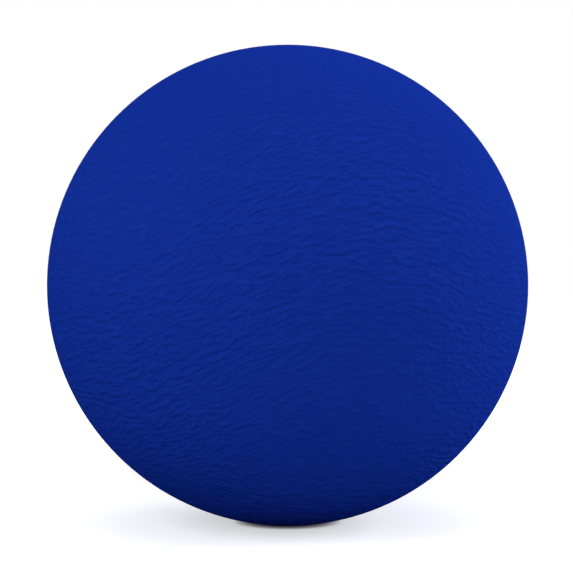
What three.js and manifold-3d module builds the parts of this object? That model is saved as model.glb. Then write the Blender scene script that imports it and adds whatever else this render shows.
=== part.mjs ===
// A peanut massage ball: a hollow skin of soft vinyl with two round lobes and a narrower waist,
// filled with air through a valve seat set into the waist, and closed by a push-in stopper.
//
// Millimetres, +Z up. The ball lies on a table with its long axis along Y. The origin is on the
// table, below the middle of the waist.

import * as THREE from "three";
import { mergeVertices } from "three/addons/utils/BufferGeometryUtils.js";
import Module from "manifold-3d";

// Skin: two spherical lobes that run into each other through a concave waist
const LOBE_DIAMETER = 65;
const LOBE_SPACING = 65; // between the lobes' centres
const WAIST_CURVE_RADIUS = 16; // of the concave arc, seen from the side
const SKIN_WALL = 3;
const SETTLE = 0.3; // how far each soft lobe flattens on the table

// Valve seat: a flange outside and a lip inside, gripping a thickened pad of the skin
const AIR_BORE = 6.6;
const SEAT_WALL = 1.7;
const FLANGE_OVERHANG = 2;
const FLANGE_THICKNESS = 1.6;
const LIP_OVERHANG = 1.5;
const LIP_LAND = 0.6; // straight part of the lip's rim
const LIP_TAPER = 1; // height of the lip's tapered part, which leads it through the skin
const POCKET_DEPTH = 3.5; // of the flange's pocket, below the top of the waist
const PAD_GRIP = 5.2; // thickness of the pad between flange and lip
const PAD_WALL = 2.2; // of the pad, around the pocket

// Stopper: a domed head on a ringed stem
const HEAD_INSET = 1.3; // from the flange's rim to the head's rim
const HEAD_LAND = 0.4; // straight part of the head's rim
const HEAD_CROWN = 0.7; // rise of the dome above the rim
const NAIL_GAP = 0.6; // undercut below the rim, to lift the stopper by
const RING_COUNT = 3;
const RING_HEIGHT = 1.5;
const RING_DEPTH = 0.45;
const TIP_LENGTH = 2; // tapered end of the stem, past the seat
const TIP_DIAMETER = 3.6;

const EDGE_ROUND = 0.5; // of the moulded edges on the valve's two pieces
const CLEARANCE = 0.3; // between pieces that touch or slide

// Fineness of the faceted surfaces
const SKIN_SEGMENTS = 40;
const VALVE_SEGMENTS = 32;
const ARC_STEP = THREE.MathUtils.degToRad(9);
const EDGE_STEPS = 3;
const DOME_STEPS = 4;

// Sizes that follow from the ones above
const lobeRadius = LOBE_DIAMETER / 2;
const lobeCentre = LOBE_SPACING / 2;
const axisHeight = lobeRadius - SETTLE;
const waistCurveHeight = Math.sqrt((lobeRadius + WAIST_CURVE_RADIUS) ** 2 - lobeCentre ** 2);
const waistRadius = waistCurveHeight - WAIST_CURVE_RADIUS;
const pocketFloor = waistRadius - POCKET_DEPTH; // above the long axis

const boreRadius = AIR_BORE / 2;
const barrelRadius = boreRadius + SEAT_WALL;
const lipRadius = barrelRadius + LIP_OVERHANG;
const flangeRadius = barrelRadius + FLANGE_OVERHANG;
const pocketRadius = flangeRadius + CLEARANCE;
const headRadius = flangeRadius - HEAD_INSET;
const stemRadius = boreRadius - CLEARANCE;

// Heights along the valve's own axis, from the pocket's floor
const flangeTop = CLEARANCE + FLANGE_THICKNESS;
const lipTop = -PAD_GRIP - CLEARANCE;
const seatBottom = lipTop - LIP_LAND - LIP_TAPER;
const headBottom = flangeTop + CLEARANCE;
const headRim = headBottom + NAIL_GAP + HEAD_LAND + EDGE_ROUND;

const wasm = await Module();
wasm.setup();

function point(radius, height) {
  return new THREE.Vector2(radius, height);
}

// Points along an arc, both ends included, with angles anticlockwise from +x.
function arc(x, y, radius, start, end, steps) {
  return Array.from({ length: steps + 1 }, (_, i) => {
    const angle = THREE.MathUtils.lerp(start, end, i / steps);
    return point(x + radius * Math.cos(angle), y + radius * Math.sin(angle));
  });
}

// Half outline of the peanut at a depth below the skin's outer face, from one end of the long
// axis to the other. Lobes and waist are tangent where they meet.
function peanutOutline(depth) {
  const lobe = lobeRadius - depth;
  const waist = WAIST_CURVE_RADIUS + depth;
  const quarter = Math.PI / 2;
  const meeting = Math.atan2(lobeCentre, waistCurveHeight);
  const quarterSteps = Math.ceil(quarter / ARC_STEP);
  const meetingSteps = Math.ceil(meeting / ARC_STEP);
  return [
    ...arc(0, -lobeCentre, lobe, -quarter, 0, quarterSteps),
    ...arc(0, -lobeCentre, lobe, 0, meeting, meetingSteps).slice(1),
    ...arc(waistCurveHeight, 0, waist, Math.PI + meeting, Math.PI, meetingSteps).slice(1),
    ...arc(waistCurveHeight, 0, waist, Math.PI, Math.PI - meeting, meetingSteps).slice(1),
    ...arc(0, lobeCentre, lobe, -meeting, 0, meetingSteps).slice(1),
    ...arc(0, lobeCentre, lobe, 0, quarter, quarterSteps).slice(1),
  ];
}

// A closed geometry as a solid that can be cut and joined.
function solidOf(geometry) {
  geometry.deleteAttribute("normal");
  geometry.deleteAttribute("uv");
  const merged = mergeVertices(geometry);
  const corners = merged.index.array;
  const triangles = [];
  for (let i = 0; i < corners.length; i += 3) {
    const [a, b, c] = corners.slice(i, i + 3);
    if (a !== b && b !== c && c !== a) triangles.push(a, b, c);
  }
  const mesh = new wasm.Mesh({
    numProp: 3,
    vertProperties: merged.attributes.position.array,
    triVerts: new Uint32Array(triangles),
  });
  return new wasm.Manifold(mesh);
}

function geometryOf(solid) {
  const { vertProperties, triVerts } = solid.getMesh();
  const geometry = new THREE.BufferGeometry();
  geometry.setAttribute("position", new THREE.BufferAttribute(vertProperties, 3));
  geometry.setIndex(new THREE.BufferAttribute(triVerts, 1));
  geometry.computeVertexNormals();
  return geometry;
}

// A round peg along Z.
function peg(radius, bottom, top) {
  const geometry = new THREE.CylinderGeometry(radius, radius, top - bottom, VALVE_SEGMENTS);
  geometry.rotateX(Math.PI / 2);
  geometry.translate(0, 0, (bottom + top) / 2);
  return solidOf(geometry);
}

function peanut(depth) {
  return solidOf(new THREE.LatheGeometry(peanutOutline(depth), SKIN_SEGMENTS));
}

// The skin, about its long axis: the wall, the pad for the valve, the pocket and hole in the
// pad, and the two patches where the lobes flatten on the table.
function skinSolid() {
  const outside = peanut(0);
  const pad = peg(pocketRadius + PAD_WALL, pocketFloor - PAD_GRIP, lobeRadius).intersect(outside);
  const pocket = peg(pocketRadius, pocketFloor, lobeRadius);
  const hole = peg(barrelRadius + CLEARANCE, 0, lobeRadius);
  const underTable = new THREE.BoxGeometry(LOBE_DIAMETER, LOBE_SPACING + LOBE_DIAMETER, 2 * SETTLE);
  underTable.translate(0, 0, -axisHeight - SETTLE);
  return outside
    .subtract(peanut(SKIN_WALL))
    .add(pad)
    .subtract(pocket)
    .subtract(hole)
    .subtract(solidOf(underTable));
}

function seatOutline() {
  const flangeEdge = arc(
    flangeRadius - EDGE_ROUND,
    flangeTop - EDGE_ROUND,
    EDGE_ROUND,
    0,
    Math.PI / 2,
    EDGE_STEPS,
  );
  return [
    point(boreRadius, seatBottom),
    point(barrelRadius, seatBottom),
    point(lipRadius, lipTop - LIP_LAND),
    point(lipRadius, lipTop),
    point(barrelRadius, lipTop),
    point(barrelRadius, CLEARANCE),
    point(flangeRadius, CLEARANCE),
    ...flangeEdge,
    point(boreRadius + EDGE_ROUND, flangeTop),
    point(boreRadius, flangeTop - EDGE_ROUND),
    point(boreRadius, seatBottom),
  ];
}

function plugOutline() {
  const pitch = (headBottom - seatBottom) / RING_COUNT;
  const core = stemRadius - RING_DEPTH;
  const rings = Array.from({ length: RING_COUNT }, (_, i) => {
    const bottom = seatBottom + i * pitch;
    return [
      point(stemRadius, bottom),
      point(stemRadius, bottom + RING_HEIGHT),
      point(core, bottom + RING_HEIGHT),
      point(core, bottom + pitch),
    ];
  }).flat();
  const rimEdge = arc(
    headRadius - EDGE_ROUND,
    headRim - EDGE_ROUND,
    EDGE_ROUND,
    0,
    Math.PI / 2,
    EDGE_STEPS,
  );
  const domeReach = headRadius - EDGE_ROUND;
  const domeRadius = (domeReach ** 2 + HEAD_CROWN ** 2) / (2 * HEAD_CROWN);
  const domeStart = Math.acos(domeReach / domeRadius);
  const domeCentre = headRim + HEAD_CROWN - domeRadius;
  return [
    point(0, seatBottom - TIP_LENGTH),
    point(TIP_DIAMETER / 2, seatBottom - TIP_LENGTH),
    ...rings,
    point(headRadius - NAIL_GAP, headBottom),
    point(headRadius, headBottom + NAIL_GAP),
    ...rimEdge,
    ...arc(0, domeCentre, domeRadius, domeStart, Math.PI / 2, DOME_STEPS).slice(1),
  ];
}

function piece(name, solid, material) {
  const mesh = new THREE.Mesh(geometryOf(solid), material);
  mesh.name = name;
  return mesh;
}

function turnedPiece(name, outline, material) {
  return piece(name, solidOf(new THREE.LatheGeometry(outline, VALVE_SEGMENTS)), material);
}

const blueVinyl = new THREE.MeshStandardMaterial({ color: 0x122e92, roughness: 0.6 });
const whiteVinyl = new THREE.MeshStandardMaterial({ color: 0xdedcd2, roughness: 0.5 });
const greyVinyl = new THREE.MeshStandardMaterial({ color: 0xc9c7bd, roughness: 0.45 });

// The valve's pieces are turned about their own axis, which stands up out of the waist.
const valve = new THREE.Group();
valve.position.z = pocketFloor;
valve.rotation.x = Math.PI / 2;
valve.add(turnedPiece("valve_seat", seatOutline(), whiteVinyl));
valve.add(turnedPiece("valve_plug", plugOutline(), greyVinyl));

const ball = new THREE.Group();
ball.position.z = axisHeight;
ball.add(piece("peanut_skin", skinSolid(), blueVinyl));
ball.add(valve);

const part = new THREE.Group();
part.add(ball);

export default part;
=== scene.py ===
import math

import bmesh
import bpy
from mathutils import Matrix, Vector


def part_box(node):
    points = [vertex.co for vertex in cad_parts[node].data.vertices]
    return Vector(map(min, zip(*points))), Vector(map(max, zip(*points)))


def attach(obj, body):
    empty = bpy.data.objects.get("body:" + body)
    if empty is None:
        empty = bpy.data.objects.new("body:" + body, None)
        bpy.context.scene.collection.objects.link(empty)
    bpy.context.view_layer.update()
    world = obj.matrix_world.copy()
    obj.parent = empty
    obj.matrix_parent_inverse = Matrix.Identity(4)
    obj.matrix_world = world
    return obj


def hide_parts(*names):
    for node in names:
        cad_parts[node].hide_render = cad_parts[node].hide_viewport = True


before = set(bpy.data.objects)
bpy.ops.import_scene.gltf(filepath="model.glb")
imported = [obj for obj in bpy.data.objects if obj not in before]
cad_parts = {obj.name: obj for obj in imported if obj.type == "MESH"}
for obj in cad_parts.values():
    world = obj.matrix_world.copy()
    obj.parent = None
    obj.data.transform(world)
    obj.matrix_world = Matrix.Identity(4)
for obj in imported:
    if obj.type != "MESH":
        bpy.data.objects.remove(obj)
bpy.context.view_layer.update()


# Skin: one hollow piece of soft blue vinyl that holds air, moulded without a seam. Its outside
# has the mould's leather grain. Two round lobes meet in a waist, where a thick pad with a pocket
# and a hole carries the valve. Each lobe settles a little where it lies on the floor.

WAIST_CURVE = 0.016
WALL = 0.003
CLEARANCE = 0.0003
FLANGE_THICKNESS = 0.0016
BARREL_RADIUS = 0.005
PAD_GRIP = 0.0052
PAD_WALL = 0.0022
MOUTH_ROUND = 0.0008
INNER_ROUND = 0.0004

COLUMNS = 160
CAP_ANGLE = math.radians(36)
LOBE_ROWS = 42
WAIST_ROWS = 30
WINDOW_COLUMNS = 20
WINDOW_RINGS = 6
ROUND_STEPS = 5

_, skin_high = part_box("peanut_skin")
seat_low, seat_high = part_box("valve_seat")
lobe_radius = skin_high.x
lobe_centre = skin_high.y - lobe_radius
axis_height = skin_high.z - lobe_radius
waist_height = math.sqrt((lobe_radius + WAIST_CURVE) ** 2 - lobe_centre**2)
meeting = math.atan2(lobe_centre, waist_height)
flange_radius = seat_high.x
pocket_radius = flange_radius + CLEARANCE
pocket_floor = seat_high.z - FLANGE_THICKNESS - CLEARANCE
hole_radius = BARREL_RADIUS + CLEARANCE
pad_radius = pocket_radius + PAD_WALL
pad_bottom = pocket_floor - PAD_GRIP

skin_points = []
skin_faces = []


def point(x, y, z):
    """Add a point of the skin and give its number."""
    skin_points.append((x, y, z))
    return len(skin_points) - 1


def arc(x, y, radius, start, end, steps):
    """Points along an arc, both ends included, with angles anticlockwise from +x."""
    angles = [start + (end - start) * i / steps for i in range(steps + 1)]
    return [(x + radius * math.cos(angle), y + radius * math.sin(angle)) for angle in angles]


def rows_of_skin(depth):
    """Radius and Y of each row between the end caps, at a depth below the outer face."""
    lobe = lobe_radius - depth
    waist = WAIST_CURVE + depth
    cap = math.pi / 2 - CAP_ANGLE
    near = arc(0, -lobe_centre, lobe, -cap, meeting, LOBE_ROWS)
    middle = arc(waist_height, 0, waist, math.pi + meeting, math.pi - meeting, WAIST_ROWS)
    far = arc(0, lobe_centre, lobe, -meeting, cap, LOBE_ROWS)
    return near + middle[1:-1] + far


def waist_top(x, y, depth):
    """Height of the waist's upper face over x and y, at a depth below the outer face."""
    radius = waist_height - math.sqrt((WAIST_CURVE + depth) ** 2 - y**2)
    return axis_height + math.sqrt(radius**2 - x**2)


def end_cap(edge, side, depth):
    """Close one end with a square grid drawn out to a round cap, so that no faces crowd a pole."""
    lobe = lobe_radius - depth
    cells = COLUMNS // 4
    grid = {}
    for a in range(cells + 1):
        for b in range(cells + 1):
            u = 2 * a / cells - 1
            v = 2 * b / cells - 1
            reach = max(abs(u), abs(v))
            if reach == 0:
                turn = 0
            elif abs(u) == reach:
                turn = math.pi / 4 * v / u + (math.pi if u < 0 else 0)
            else:
                turn = math.pi / 2 - math.pi / 4 * u / v + (math.pi if v < 0 else 0)
            if reach == 1:
                grid[a, b] = edge[round(turn / (2 * math.pi) * COLUMNS) % COLUMNS]
            else:
                polar = reach * CAP_ANGLE
                radius = lobe * math.sin(polar)
                y = side * (lobe_centre + lobe * math.cos(polar))
                z = axis_height + radius * math.cos(turn)
                grid[a, b] = point(radius * math.sin(turn), y, z)
    for a in range(cells):
        for b in range(cells):
            skin_faces.append((grid[a, b], grid[a + 1, b], grid[a + 1, b + 1], grid[a, b + 1]))


def skin_wall(depth):
    """One face of the skin, closed but for a window around the valve. Gives the window's edge."""
    first = LOBE_ROWS
    last = LOBE_ROWS + WAIST_ROWS
    rows = []
    for i, (radius, y) in enumerate(rows_of_skin(depth)):
        row = []
        for column in range(COLUMNS):
            turn = 2 * math.pi * column / COLUMNS
            inside = first < i < last and min(column, COLUMNS - column) < WINDOW_COLUMNS
            z = max(axis_height + radius * math.cos(turn), 0)
            row.append(None if inside else point(radius * math.sin(turn), y, z))
        rows.append(row)
    for i in range(len(rows) - 1):
        for column in range(COLUMNS):
            middle = column + 0.5
            inside = first <= i < last and min(middle, COLUMNS - middle) < WINDOW_COLUMNS
            if not inside:
                after = (column + 1) % COLUMNS
                face = (rows[i][column], rows[i][after], rows[i + 1][after], rows[i + 1][column])
                skin_faces.append(face)
    end_cap(rows[0], -1, depth)
    end_cap(rows[-1], 1, depth)
    across = range(-WINDOW_COLUMNS, WINDOW_COLUMNS)
    along = range(first, last)
    edge = [rows[first][column] for column in across]
    edge += [rows[i][WINDOW_COLUMNS] for i in along]
    edge += [rows[last][-column] for column in across]
    edge += [rows[first + last - i][-WINDOW_COLUMNS] for i in along]
    return edge


def bearings_of(edge):
    """Direction of each point of a window's edge from the valve's axis."""
    return [math.atan2(skin_points[i][1], skin_points[i][0]) for i in edge]


def ring(bearings, radius, height):
    """A ring of points about the valve's axis, at one height."""
    return [point(radius * math.cos(b), radius * math.sin(b), height) for b in bearings]


def window_rings(edge, radius, depth):
    """Rings on the waist that pass from a window's edge to a circle about the valve's axis."""
    rings = []
    for step in range(1, WINDOW_RINGS + 1):
        share = step / WINDOW_RINGS
        row = []
        for i in edge:
            x, y, _ = skin_points[i]
            shrink = 1 + (radius / math.hypot(x, y) - 1) * share
            row.append(point(x * shrink, y * shrink, waist_top(x * shrink, y * shrink, depth)))
        rings.append(row)
    return rings


def curve_through(start, corner, end):
    """Points of a smooth curve from start to end that turns at a corner."""
    shares = [step / ROUND_STEPS for step in range(ROUND_STEPS + 1)]
    return [start * (1 - t) ** 2 + corner * 2 * t * (1 - t) + end * t**2 for t in shares]


def mouth_rings(bearings):
    """The pocket's mouth, rounded from the waist's curve down into the pocket's wall."""
    columns = []
    for bearing in bearings:
        along = Vector((math.cos(bearing), math.sin(bearing), 0))
        brim = along * (pocket_radius + MOUTH_ROUND)
        brim.z = waist_top(brim.x, brim.y, 0)
        corner = along * pocket_radius
        corner.z = waist_top(corner.x, corner.y, 0)
        wall = corner - Vector((0, 0, MOUTH_ROUND))
        columns.append(curve_through(brim, corner, wall)[1:])
    return [[point(*place) for place in row] for row in zip(*columns)]


def rounded(corners):
    """Outline through corners of (radius, height, rounding). Rounding 0 leaves a plain point."""
    outline = []
    for i, (radius, height, rounding) in enumerate(corners):
        corner = Vector((radius, height))
        if rounding == 0:
            outline.append(corner)
            continue
        before = Vector(corners[i - 1][:2]) - corner
        after = Vector(corners[(i + 1) % len(corners)][:2]) - corner
        start = corner + before.normalized() * rounding
        end = corner + after.normalized() * rounding
        outline += curve_through(start, corner, end)
    return outline


def piece(name, points, faces):
    """A smooth mesh object whose faces all point outwards."""
    mesh = bpy.data.meshes.new(name)
    mesh.from_pydata(points, [], faces)
    shape = bmesh.new()
    shape.from_mesh(mesh)
    bmesh.ops.recalc_face_normals(shape, faces=shape.faces)
    shape.to_mesh(mesh)
    shape.free()
    mesh.shade_smooth()
    made = bpy.data.objects.new(name, mesh)
    bpy.context.scene.collection.objects.link(made)
    return made


outer_edge = skin_wall(0)
inner_edge = skin_wall(WALL)
bearings = bearings_of(outer_edge)
pocket_outline = rounded([
    (pocket_radius, seat_high.z, 0),
    (pocket_radius, pocket_floor, INNER_ROUND),
    (hole_radius, pocket_floor, INNER_ROUND),
    (hole_radius, pad_bottom, INNER_ROUND),
    (pad_radius, pad_bottom, INNER_ROUND),
    (pad_radius, seat_high.z, 0),
])
skin_rings = [outer_edge]
skin_rings += window_rings(outer_edge, pocket_radius + MOUTH_ROUND, 0)
skin_rings += mouth_rings(bearings)
skin_rings += [ring(bearings, radius, height) for radius, height in pocket_outline[1:-1]]
skin_rings += reversed(window_rings(inner_edge, pad_radius, WALL))
skin_rings += [inner_edge]
for upper, lower in zip(skin_rings, skin_rings[1:]):
    for i in range(len(upper)):
        after = (i + 1) % len(upper)
        skin_faces.append((upper[i], upper[after], lower[after], lower[i]))
skin = piece("skin", skin_points, skin_faces)


class Field:
    """A socket of a material's nodes. Arithmetic on it adds Math nodes."""

    def __init__(self, tree, socket=None):
        self.tree = tree
        self.socket = socket

    def node(self, kind, settings, inputs, output=0):
        """Add a node: first its settings, then the values or links of its sockets."""
        made = self.tree.nodes.new(kind)
        for name, value in settings.items():
            setattr(made, name, value)
        for name, value in inputs.items():
            if isinstance(value, Field):
                self.tree.links.new(value.socket, made.inputs[name])
            else:
                made.inputs[name].default_value = value
        return Field(self.tree, made.outputs[output]) if made.outputs else None

    def math(self, operation, *values):
        return self.node("ShaderNodeMath", {"operation": operation}, dict(enumerate(values)))

    def __add__(self, other):
        return self.math("ADD", self, other)

    def __radd__(self, other):
        return self.math("ADD", other, self)

    def __sub__(self, other):
        return self.math("SUBTRACT", self, other)

    def __rsub__(self, other):
        return self.math("SUBTRACT", other, self)

    def __mul__(self, other):
        return self.math("MULTIPLY", self, other)

    def __rmul__(self, other):
        return self.math("MULTIPLY", other, self)


def empty_finish(name):
    """A material with no nodes, and the field that its nodes are added through."""
    material = bpy.data.materials.new(name)
    material.use_nodes = True
    material.node_tree.nodes.clear()
    return material, Field(material.node_tree)


def noise(field, where, size, detail):
    """Noise from 0 to 1 whose blotches are about one size across."""
    inputs = {"Vector": where, "Scale": 1 / size, "Detail": detail}
    return field.node("ShaderNodeTexNoise", {}, inputs, "Fac")


def smooth_step(field, value, start, end):
    """0 at the start, 1 at the end, and a smooth change between. The start may lie above the end."""
    settings = {"interpolation_type": "SMOOTHSTEP"}
    inputs = {"Value": value, "From Min": start, "From Max": end}
    return field.node("ShaderNodeMapRange", settings, inputs)


def mixed(field, factor, first, second):
    """The first colour at 0, the second at 1. Mix names its sockets alike, so numbers find them."""
    return field.node("ShaderNodeMix", {"data_type": "RGBA"}, {0: factor, 6: first, 7: second}, 2)


def relief(field, height, depth):
    """A normal that shows a height as relief, where a height of 1 stands for the depth."""
    return field.node("ShaderNodeBump", {}, {"Distance": depth, "Height": height})


def moved(field, where, amount, direction):
    """A place moved along a direction by an amount that changes over the surface."""
    inputs = {0: amount, 1: direction, 2: where}
    return field.node("ShaderNodeVectorMath", {"operation": "MULTIPLY_ADD"}, inputs)


# The crease blue is painted shade in the folds' creases. The lighter vinyl blue on the ridge tops is
# the vinyl's colour and also a painted highlight.
VINYL_BLUE_WITH_RIDGE_HIGHLIGHT = (0.0077, 0.0358, 0.372, 1)
PAINTED_CREASE_SHADE_BLUE = (0.0069, 0.032, 0.346, 1)
RIDGE_ROUGHNESS = 0.58
CREASE_ROUGHNESS = 0.7
RIDGE_EDGES = (0, 0.22)
FOLD_SIZE = (0.0014, 0.0025, 0.00057)
FOLD_DETAIL = 0.8
WAVE_LENGTH = 0.078
WAVE_HEIGHT = 0.0045
WAVE_PLACE = -0.008
WANDER_SIZE = 0.005
WANDER_DETAIL = 2
WANDER_REACH = 0.001
LEVEL_EDGES = (0.3, 0.8)  # square of the normal's z, where tipped folds take over
PORE_SIZE = 0.0005
PORE_DETAIL = 2
PORE_SHARE = 0.42
PATCH_SIZE = 0.035
PATCH_DETAIL = 1
PATCH_SHIFT = (-0.28, 0.87, 0.68)
PATCH_EDGES = (0.33, 0.61)
FAINT_FOLDS = 0.55
UNDERSIDE_EDGES = (-0.57, -0.88)  # z of the normal, where the folds deepen
UNDERSIDE_FOLDS = 2.3
TOPSIDE_EDGES = (0.25, 0.7)  # z of the normal, where the pores deepen
TOPSIDE_PORES = 0.6
GRAIN_DEPTH = 0.00054


def wrinkles(field, where):
    """Folds of leather, -0.5 to 0.5, that run across in a slow wave and wander."""
    across = field.node("ShaderNodeSeparateXYZ", {}, {"Vector": where}, "X")
    wave = field.math("SINE", (2 * math.pi / WAVE_LENGTH) * (across - WAVE_PLACE))
    waved = moved(field, where, wave, (0, 0, -WAVE_HEIGHT))
    wander_inputs = {"Vector": where, "Scale": 1 / WANDER_SIZE, "Detail": WANDER_DETAIL}
    wander = field.node("ShaderNodeTexNoise", {}, wander_inputs, "Color")
    wandering = moved(field, waved, wander, (WANDER_REACH,) * 3)
    division = {"operation": "DIVIDE"}
    stretched = field.node("ShaderNodeVectorMath", division, {0: wandering, 1: FOLD_SIZE})
    return noise(field, stretched, 1, FOLD_DETAIL) - 0.5


vinyl, field = empty_finish("leather_grain_vinyl")
place = field.node("ShaderNodeTexCoord", {}, {}, "Object")
outward = field.node("ShaderNodeTexCoord", {}, {}, "Normal")
upward = field.node("ShaderNodeSeparateXYZ", {}, {"Vector": outward}, "Z")
level = smooth_step(field, upward * upward, *LEVEL_EDGES)
quarter_turn = {"Vector": place, "Angle": math.pi / 2}
tipped = field.node("ShaderNodeVectorRotate", {"rotation_type": "X_AXIS"}, quarter_turn)
upright_folds = wrinkles(field, place)
folds = upright_folds + level * (wrinkles(field, tipped) - upright_folds)
shifted = field.node("ShaderNodeVectorMath", {"operation": "ADD"}, {0: place, 1: PATCH_SHIFT})
patches = smooth_step(field, noise(field, shifted, PATCH_SIZE, PATCH_DETAIL), *PATCH_EDGES)
underside = smooth_step(field, upward, *UNDERSIDE_EDGES)
fold_share = (FAINT_FOLDS + (1 - FAINT_FOLDS) * patches) * (1 + UNDERSIDE_FOLDS * underside)
pores = noise(field, place, PORE_SIZE, PORE_DETAIL)
topside = smooth_step(field, upward, *TOPSIDE_EDGES)
pore_share = PORE_SHARE + TOPSIDE_PORES * topside
# Creases take the darker blue as painted shade and ridge tops the lighter blue as a painted
# highlight; the same ridges also set the roughness.
ridges = smooth_step(field, folds, *RIDGE_EDGES)
vinyl_inputs = {
    "Base Color": mixed(field, ridges, PAINTED_CREASE_SHADE_BLUE, VINYL_BLUE_WITH_RIDGE_HIGHLIGHT),
    "Roughness": CREASE_ROUGHNESS + (RIDGE_ROUGHNESS - CREASE_ROUGHNESS) * ridges,
    "Specular IOR Level": 0,
    "Normal": relief(field, fold_share * folds + pore_share * pores, GRAIN_DEPTH),
}
surface = field.node("ShaderNodeBsdfPrincipled", {}, vinyl_inputs)
field.node("ShaderNodeOutputMaterial", {}, {"Surface": surface})
vinyl.cycles.use_bump_map_correction = False
skin.data.materials.append(vinyl)
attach(skin, "ball")
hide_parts("peanut_skin")


# Valve seat: a grommet of firmer off-white vinyl, injection moulded and pressed through the hole
# in the skin's pad. Its flange lies in the pocket, and a tapered lip holds it from inside. A low
# bead round the bore seals against the stopper's head.

LIP_RADIUS = 0.0065
LIP_LAND = 0.0006
BORE_RADIUS = 0.0033
BEAD_RADIUS = 0.0047
BEAD_WIDTH = 0.0006
BEAD_HEIGHT = 0.00015
EDGE_ROUND = 0.0005
CORNER_ROUND = 0.0002
TURNED_SEGMENTS = 96

SEAT_WHITE = (0.72, 0.70, 0.62, 1)
SEAT_DUST = (0.46, 0.45, 0.40, 1)
MOULD_SIZE = 0.00025
MOULD_DETAIL = 3
MOULD_ROUGHNESS = 0.18
MOULD_DEPTH = 0.000015
FLOW_SIZE = 0.003
FLOW_DETAIL = 2
FLOW_SHADE = 0.12
DUST_SIZE = 0.0012
DUST_DETAIL = 4
DUST_EDGES = (0.55, 0.85)
DUST_SHADE = 0.35
DUST_ROUGHNESS = 0.2
CLEAN_ROUGHNESS = 0.36
MOULDED_SPECULAR = 0.45


def turned(name, outline, closed):
    """A smooth piece turned about the valve's axis. An open outline starts and ends on the axis."""
    points = []
    rows = []
    for radius, height in outline:
        count = TURNED_SEGMENTS if radius > 0 else 1
        rows.append(range(len(points), len(points) + count))
        for i in range(count):
            turn = 2 * math.pi * i / count
            points.append((radius * math.cos(turn), radius * math.sin(turn), height))
    pairs = list(zip(rows, rows[1:]))
    if closed:
        pairs.append((rows[-1], rows[0]))
    faces = []
    for lower, upper in pairs:
        for i in range(TURNED_SEGMENTS):
            after = (i + 1) % TURNED_SEGMENTS
            if len(lower) == 1:
                faces.append((lower[0], upper[after], upper[i]))
            elif len(upper) == 1:
                faces.append((lower[i], lower[after], upper[0]))
            else:
                faces.append((lower[i], lower[after], upper[after], upper[i]))
    return piece(name, points, faces)


def moulded_white(name, clean, dusty):
    """Off-white vinyl with the mould's fine texture, soft flow marks and a little dust."""
    material, field = empty_finish(name)
    place = field.node("ShaderNodeTexCoord", {}, {}, "Object")
    texture = noise(field, place, MOULD_SIZE, MOULD_DETAIL)
    flow = noise(field, place, FLOW_SIZE, FLOW_DETAIL)
    dust = smooth_step(field, noise(field, place, DUST_SIZE, DUST_DETAIL), *DUST_EDGES)
    inputs = {
        "Base Color": mixed(field, DUST_SHADE * dust + FLOW_SHADE * flow, clean, dusty),
        "Roughness": CLEAN_ROUGHNESS + MOULD_ROUGHNESS * texture + DUST_ROUGHNESS * dust,
        "Specular IOR Level": MOULDED_SPECULAR,
        "Normal": relief(field, texture + flow, MOULD_DEPTH),
    }
    surface = field.node("ShaderNodeBsdfPrincipled", {}, inputs)
    field.node("ShaderNodeOutputMaterial", {}, {"Surface": surface})
    return material


flange_bottom = pocket_floor + CLEARANCE
flange_top = seat_high.z
lip_top = pad_bottom - CLEARANCE
bead = [
    (BEAD_RADIUS + BEAD_WIDTH, flange_top, CORNER_ROUND),
    (BEAD_RADIUS, flange_top + BEAD_HEIGHT, CORNER_ROUND),
    (BEAD_RADIUS - BEAD_WIDTH, flange_top, CORNER_ROUND),
]
seat_outline = rounded([
    (BORE_RADIUS, seat_low.z, CORNER_ROUND),
    (BARREL_RADIUS, seat_low.z, CORNER_ROUND),
    (LIP_RADIUS, lip_top - LIP_LAND, CORNER_ROUND),
    (LIP_RADIUS, lip_top, CORNER_ROUND),
    (BARREL_RADIUS, lip_top, CORNER_ROUND),
    (BARREL_RADIUS, flange_bottom, CORNER_ROUND),
    (flange_radius, flange_bottom, CORNER_ROUND),
    (flange_radius, flange_top, EDGE_ROUND),
    *bead,
    (BORE_RADIUS, flange_top, EDGE_ROUND),
])
seat = turned("seat", seat_outline, True)
seat.data.materials.append(moulded_white("seat_vinyl_finish", SEAT_WHITE, SEAT_DUST))
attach(seat, "ball")
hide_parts("valve_seat")


# Stopper: one moulding of the same vinyl, a shade greyer, pushed into the seat by hand. Three
# rings on its stem seal the bore, and the domed head has an undercut rim for a fingernail and
# a small dimple where the mould was filled.

STEM_RADIUS = 0.003
CORE_RADIUS = 0.00255
TIP_RADIUS = 0.0018
RING_COUNT = 3
RING_HEIGHT = 0.0015
NAIL_GAP = 0.0006
HEAD_CROWN = 0.0007
DIMPLE_RADIUS = 0.0008
DIMPLE_DEPTH = 0.0002
DOME_STEPS = 12
STOPPER_WHITE = (0.60, 0.58, 0.52, 1)
STOPPER_DUST = (0.38, 0.37, 0.33, 1)

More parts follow.
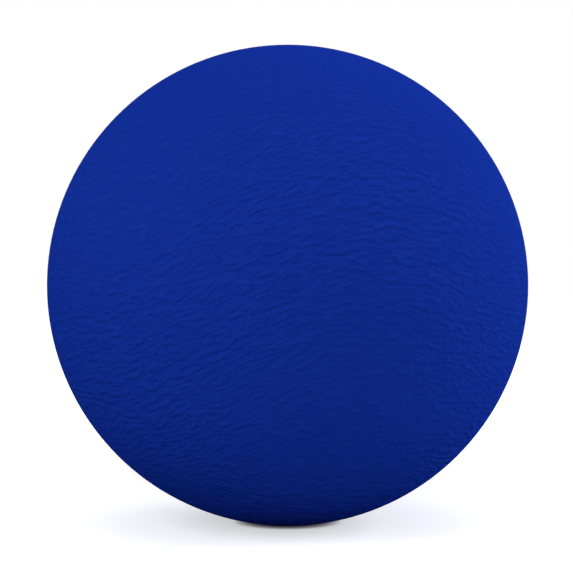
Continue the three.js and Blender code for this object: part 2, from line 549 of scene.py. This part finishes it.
plug_low, plug_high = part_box("valve_plug")
head_radius = plug_high.x
head_bottom = flange_top + CLEARANCE
head_rim = plug_high.z - HEAD_CROWN
dome_reach = head_radius - EDGE_ROUND
dome_radius = (dome_reach**2 + HEAD_CROWN**2) / (2 * HEAD_CROWN)
pitch = (head_bottom - seat_low.z) / RING_COUNT
stem = [(0, plug_low.z, 0), (TIP_RADIUS, plug_low.z, CORNER_ROUND)]
for i in range(RING_COUNT):
    bottom = seat_low.z + i * pitch
    stem += [
        (STEM_RADIUS, bottom, CORNER_ROUND),
        (STEM_RADIUS, bottom + RING_HEIGHT, CORNER_ROUND),
        (CORE_RADIUS, bottom + RING_HEIGHT, CORNER_ROUND),
        (CORE_RADIUS, bottom + pitch, CORNER_ROUND),
    ]
head = [
    (head_radius - NAIL_GAP, head_bottom, CORNER_ROUND),
    (head_radius, head_bottom + NAIL_GAP, CORNER_ROUND),
    (head_radius, head_rim, EDGE_ROUND),
]
for i in range(1, DOME_STEPS + 1):
    radius = dome_reach + (DIMPLE_RADIUS - dome_reach) * i / DOME_STEPS
    drop = dome_radius - math.sqrt(dome_radius**2 - radius**2)
    head.append((radius, plug_high.z - drop, 0))
dimple_floor = plug_high.z - DIMPLE_DEPTH
head += [(DIMPLE_RADIUS / 2, dimple_floor, CORNER_ROUND), (0, dimple_floor, 0)]
stopper = turned("stopper", rounded(stem + head), False)
stopper.data.materials.append(moulded_white("stopper_vinyl_finish", STOPPER_WHITE, STOPPER_DUST))
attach(stopper, "stopper")
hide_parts("valve_plug")


# Studio: a pale floor that keeps the ball's soft shadow, and a dark line where the ball meets it,
# real shadow made darker by a painted contact shadow where the floor's glow is taken away; weak
# light from all round, soft lamps overhead, in front and at both sides, and a level camera that
# looks along the ball at one lobe.

FLOOR_DROP = 0.00005
FLOOR_REACH = 4.0
FLOOR_GREY = (0.55, 0.55, 0.55, 1)
FLOOR_WHITE = (0.95, 0.95, 0.95, 1)
FLOOR_GLOW = 0.55
PAINTED_CONTACT_SHADOW_REACH = 0.0006
WORLD_LEVEL = 0.5
BACKDROP_LEVEL = 1
WHITE = (1, 1, 1, 1)
SEEN_RAYS = ("Is Camera Ray", "Is Glossy Ray", "Is Transmission Ray")
LAMP_SIZE = 0.5
OVERHEAD_PLACE = (0, 0, 0.9)
OVERHEAD_SIZE = 0.8
OVERHEAD_POWER = 1.62
FRONT_PLACE = (0, -0.88, 0.18)
FRONT_POWER = 0.74
RIGHT_PLACE = (0.8, 0.15, 0.35)
RIGHT_POWER = 3.76
LEFT_PLACE = (-0.6, -0.4, 0.55)
LEFT_POWER = 2.02
PHOTO_PIXELS = 573
LOBE_HALF_PIXELS = 240.7
LOBE_ACROSS = 287.6
LOBE_DOWN = 285.3
LENS = 100
SENSOR = 36


def seen(field):
    """1 for rays that show a surface to the camera, straight, mirrored or through glass, else 0."""
    straight, glossy, through = [
        field.node("ShaderNodeLightPath", {}, {}, kind) for kind in SEEN_RAYS
    ]
    return field.math("MINIMUM", straight + glossy + through, 1)


def softbox(name, place, size, power):
    """A square soft lamp that faces the middle of the ball."""
    lamp = bpy.data.lights.new(name, "AREA")
    lamp.size = size
    lamp.energy = power
    made = bpy.data.objects.new(name, lamp)
    made.location = place
    view = Vector((0, 0, axis_height)) - made.location
    made.rotation_euler = view.to_track_quat("-Z", "Y").to_euler()
    bpy.context.scene.collection.objects.link(made)


corners = [(-1, -1), (1, -1), (1, 1), (-1, 1)]
floor_points = [(x * FLOOR_REACH, y * FLOOR_REACH, -FLOOR_DROP) for x, y in corners]
floor = piece("floor", floor_points, [(0, 1, 2, 3)])
floor_finish, field = empty_finish("pale_floor")
grey = field.node("ShaderNodeBsdfDiffuse", {}, {"Color": FLOOR_GREY})
white = field.node("ShaderNodeBsdfDiffuse", {}, {"Color": FLOOR_WHITE})
glow = field.node("ShaderNodeEmission", {}, {"Color": WHITE, "Strength": FLOOR_GLOW})
glowing = field.node("ShaderNodeAddShader", {}, {0: white, 1: glow})
# Painted contact shadow: close to the ball, the floor's glow gives way to its plain lit white, so
# the line of contact shows darker than the light alone makes it.
painted_contact_shadow_mask = field.node("ShaderNodeAmbientOcclusion", {}, {"Distance": PAINTED_CONTACT_SHADOW_REACH}, "AO")
shown = field.node("ShaderNodeMixShader", {}, {0: painted_contact_shadow_mask, 1: white, 2: glowing})
surface = field.node("ShaderNodeMixShader", {}, {0: seen(field), 1: grey, 2: shown})
field.node("ShaderNodeOutputMaterial", {}, {"Surface": surface})
floor.data.materials.append(floor_finish)

world = bpy.data.worlds.new("studio")
world.use_nodes = True
world.node_tree.nodes.clear()
field = Field(world.node_tree)
lighting = field.node("ShaderNodeBackground", {}, {"Color": WHITE, "Strength": WORLD_LEVEL})
backdrop = field.node("ShaderNodeBackground", {}, {"Color": WHITE, "Strength": BACKDROP_LEVEL})
surround = field.node("ShaderNodeMixShader", {}, {0: seen(field), 1: lighting, 2: backdrop})
field.node("ShaderNodeOutputWorld", {}, {"Surface": surround})
bpy.context.scene.world = world

softbox("overhead_lamp", OVERHEAD_PLACE, OVERHEAD_SIZE, OVERHEAD_POWER)
softbox("front_lamp", FRONT_PLACE, LAMP_SIZE, FRONT_POWER)
softbox("right_lamp", RIGHT_PLACE, LAMP_SIZE, RIGHT_POWER)
softbox("left_lamp", LEFT_PLACE, LAMP_SIZE, LEFT_POWER)

camera_data = bpy.data.cameras.new("camera")
camera_data.lens = LENS
camera_data.sensor_width = SENSOR
camera_data.shift_x = (PHOTO_PIXELS / 2 - LOBE_ACROSS) / PHOTO_PIXELS
camera_data.shift_y = (LOBE_DOWN - PHOTO_PIXELS / 2) / PHOTO_PIXELS
camera = bpy.data.objects.new("camera", camera_data)
half_angle = math.atan(LOBE_HALF_PIXELS / PHOTO_PIXELS * SENSOR / LENS)
camera.location = (0, -lobe_centre - lobe_radius / math.sin(half_angle), axis_height)
camera.rotation_euler = (math.pi / 2, 0, 0)
bpy.context.scene.collection.objects.link(camera)
bpy.context.scene.camera = camera
bpy.context.scene.view_settings.view_transform = "Standard"
